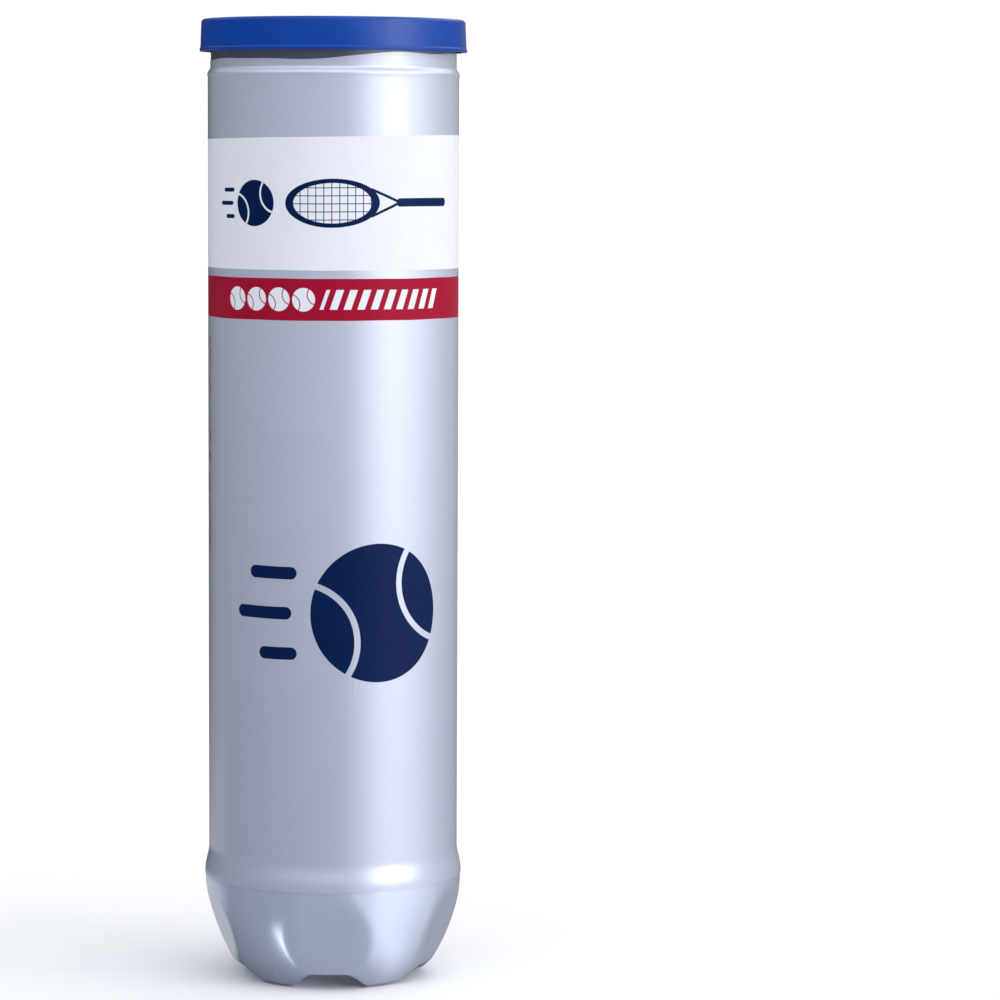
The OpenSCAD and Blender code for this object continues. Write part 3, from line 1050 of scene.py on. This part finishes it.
def build_ball(k, materials):
    """The felt panels, the seam and the loose fibres of ball k. Its rubber core is the CAD's own."""
    seam_gap = 0.1
    nodes, coarse_nodes = 28, 14
    fibres, few_fibres = 2600, 300
    names = [f"ball_{k}_felt_a", f"ball_{k}_felt_b"]
    lows, highs = zip(*(span(name) for name in names))
    low = Vector([min(v[i] for v in lows) for i in range(3)])
    high = Vector([max(v[i] for v in highs) for i in range(3)])
    centre = (low + high) / 2
    radius = (high.z - low.z) / 2
    half = SEAM_W / 2 / radius
    turn = Euler([math.radians(a) for a in BALL_TURNS[k - 1]]).to_matrix()
    turn = turn @ Matrix.Rotation(math.radians(BALL_SPINS[k - 1]), 3, "Z")
    flip = Matrix.Rotation(math.pi / 2, 3, "Z") @ Matrix.Rotation(math.pi, 3, "X")
    patch = felt_patch(math.pi / 4 - half, nodes)
    body = f"ball_{k}"
    for letter, rotation, name in (("a", turn, names[0]), ("b", turn @ flip, names[1])):
        part = felt_part(patch, radius, rotation, centre, 40.0 * k + 7.0 * ord(letter))
        make(f"ball_{k}_cover_{letter}", [part], body, name, materials["felt"])
    part = seam_part(radius, half - seam_gap / radius, turn, centre)
    make(f"ball_{k}_seam_band", [part], body, f"ball_{k}_seam", materials["seam"])
    count = fibres
    parts = [fuzz_part(patch, radius, rotation, centre, count) for rotation in (turn, turn @ flip)]
    make(f"ball_{k}_fuzz", parts, body, None, materials["fuzz"])


# ---- Studio ----


def key_light(azimuth, height, distance, size, power, aim_z):
    """A soft lamp. Azimuth 0 is in front of the can, and positive ones are on its right."""
    lamp = bpy.data.lights.new("key", "AREA")
    lamp.shape = "RECTANGLE"
    lamp.size, lamp.size_y = size
    lamp.energy = power
    holder = bpy.data.objects.new("key", lamp)
    a = math.radians(azimuth)
    holder.location = (distance * math.sin(a), -distance * math.cos(a), height)
    aim = Vector((0, 0, aim_z)) - holder.location
    holder.rotation_euler = aim.to_track_quat("-Z", "Y").to_euler()
    holder.visible_camera = False
    bpy.context.scene.collection.objects.link(holder)


def build_studio():
    """A pale seamless floor and backdrop, and a surround with soft light panels. Lengths are in metres."""
    width, front, back, bend, height = 8.0, -4.0, 2.0, 1.2, 4.0
    start = back - bend
    profile = [(front, 0.0), (start, 0.0)]
    for a in np.linspace(0, math.pi / 2, 24)[1:]:
        profile.append((start + bend * math.sin(a), bend - bend * math.cos(a)))
    profile.append((back, height))
    points = [(x, y, z) for y, z in profile for x in (-width / 2, width / 2)]
    mesh = bpy.data.meshes.new("backdrop")
    mesh.from_pydata(points, [], grid_faces(len(profile), 2, wrap_columns=False))
    mesh.polygons.foreach_set("use_smooth", [True] * len(mesh.polygons))
    floor = bpy.data.objects.new("backdrop", mesh)
    floor.visible_glossy = False  # reflections show the surround's light panels instead
    bpy.context.scene.collection.objects.link(floor)
    paper = Tree("backdrop_paper", roughness=0.9, specular_ior_level=0.1)
    paper.set(base_color=paper.mix(paper.noise(40.0), (0.86, 0.86, 0.87, 1), (0.84, 0.84, 0.85, 1)))
    # Its back is clear, so that a camera far out behind it still sees the object.
    behind = Num(paper, paper.nodes.new("ShaderNodeNewGeometry").outputs["Backfacing"])
    paper.set(alpha=-behind + 1.0)
    mesh.materials.append(paper.material)

    world = bpy.data.worlds.new("studio")
    bpy.context.scene.world = world
    sky = Tree(world=world)
    x, y, z = sky.place()
    # Azimuth 0 is in front of the can, in degrees. Rise is 0 at the horizon and 1 overhead.
    azimuth = x.math("ARCTAN2", -y) * (180 / math.pi)
    rise = z / MM
    # A wide panel on the right gives the long highlight down the can.
    # Low down it is turned further right.
    turned = azimuth - rise.ramp(-0.55, -0.85) * 22.0
    panel = turned.ramp(12.0, 20.0) * 0.35 + turned.ramp(14.0, 52.0) * 0.9
    panel = panel * turned.ramp(132.0, 54.0) * rise.ramp(0.65, 0.35) * rise.ramp(-0.95, -0.75)
    # Small panels give the glints on the feet, the heel and the lid.
    low_left = azimuth.within(-66.0, -54.0, 3.0) * rise.within(-0.85, -0.6, 0.08) * 4.0
    low_back = azimuth.within(-172.0, -118.0, 8.0) * rise.within(-0.34, -0.17, 0.05) * 0.55
    high = azimuth.within(38.0, 76.0, 14.0) * rise.within(0.1, 0.32, 0.08) * 3.0
    # Light from above, and a dim fill that is darker towards the back left.
    above = rise.ramp(0.18, 0.5) * (azimuth.ramp(-150.0, -10.0) * 0.75 + 0.6)
    dim = azimuth.ramp(-175.0, 20.0) * 0.18 + 0.05
    light = panel + low_left + low_back + high + above + dim
    # The left is a little bluer. The camera itself sees plain white.
    white, cool = (1.0, 1.0, 1.0, 1.0), (0.9, 0.94, 1.0, 1.0)
    seen = sky.nodes.new("ShaderNodeLightPath").outputs["Is Camera Ray"]
    tint = sky.mix(azimuth.ramp(60.0, -60.0), white, cool)
    sky.set(color=sky.mix(seen, tint, white), strength=light.larger(Num(sky, seen)))
    key_light(azimuth=60, height=0.9, distance=1.6, size=(0.3, 1.2), power=2.2, aim_z=0.15)


def build_camera():
    """A long lens a little above the can's middle, turned so that the can stands on the picture's left."""
    distance, height = 1.190, 0.248
    pan, pitch, roll = (math.radians(a) for a in (2.392, 5.068, 0.247))
    right = Vector((math.cos(pan), -math.sin(pan), 0))
    ahead = Vector((math.sin(pan) * math.cos(pitch), math.cos(pan) * math.cos(pitch), -math.sin(pitch)))
    up = right.cross(ahead)
    rolled = right * math.cos(roll) + up * math.sin(roll)
    up = up * math.cos(roll) - right * math.sin(roll)
    camera = bpy.data.cameras.new("camera")
    camera.lens = 144.2
    camera.sensor_width = 36.0
    camera.clip_end = 50
    holder = bpy.data.objects.new("camera", camera)
    axes = Matrix((rolled, up, -ahead)).transposed()
    holder.matrix_world = Matrix.Translation((0, -distance, height)) @ axes.to_4x4()
    bpy.context.scene.collection.objects.link(holder)
    bpy.context.scene.camera = holder


# ---- The whole scene ----

np.random.seed(11)
shell_metal = sheet_metal("end_metal", True, (226, 227, 230))
panel_metal = sheet_metal("panel_metal", False, (229, 230, 232))
tab_metal = sheet_metal("tab_metal", False, (208, 210, 214))
core_rubber = rubber("ball_rubber", (30, 30, 32), (52, 52, 55), roughness=0.7, size=0.8)
compound = rubber("seam_rubber", (26, 26, 28), (44, 44, 46), roughness=0.6, size=0.5)
ball_materials = {
    "felt": felt("ball_felt"),
    "fuzz": felt("felt_fibres"),
    "seam": rubber("ball_seam", (214, 216, 208), (238, 239, 233), roughness=0.55, size=0.5),
}

build_bottle(bottle_plastic())
build_sleeve(sleeve_film())
build_end(shell_metal)
build_panel(panel_metal)
build_tab(tab_metal)
build_tongue(tab_metal)
build_lid(lid_plastic())
for k in range(1, len(BALL_SPINS) + 1):
    build_ball(k, ball_materials)

# The rubber cores and the sealing compound keep their CAD shape.
carried = {"seam_compound": compound}
for k in range(1, len(BALL_SPINS) + 1):
    carried[f"ball_{k}_core_lower"] = core_rubber
    carried[f"ball_{k}_core_upper"] = core_rubber
for node, material in carried.items():
    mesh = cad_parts[node].data
    mesh.materials.clear()
    mesh.materials.append(material)

build_studio()
build_camera()
bpy.context.scene.view_settings.view_transform = "Standard"
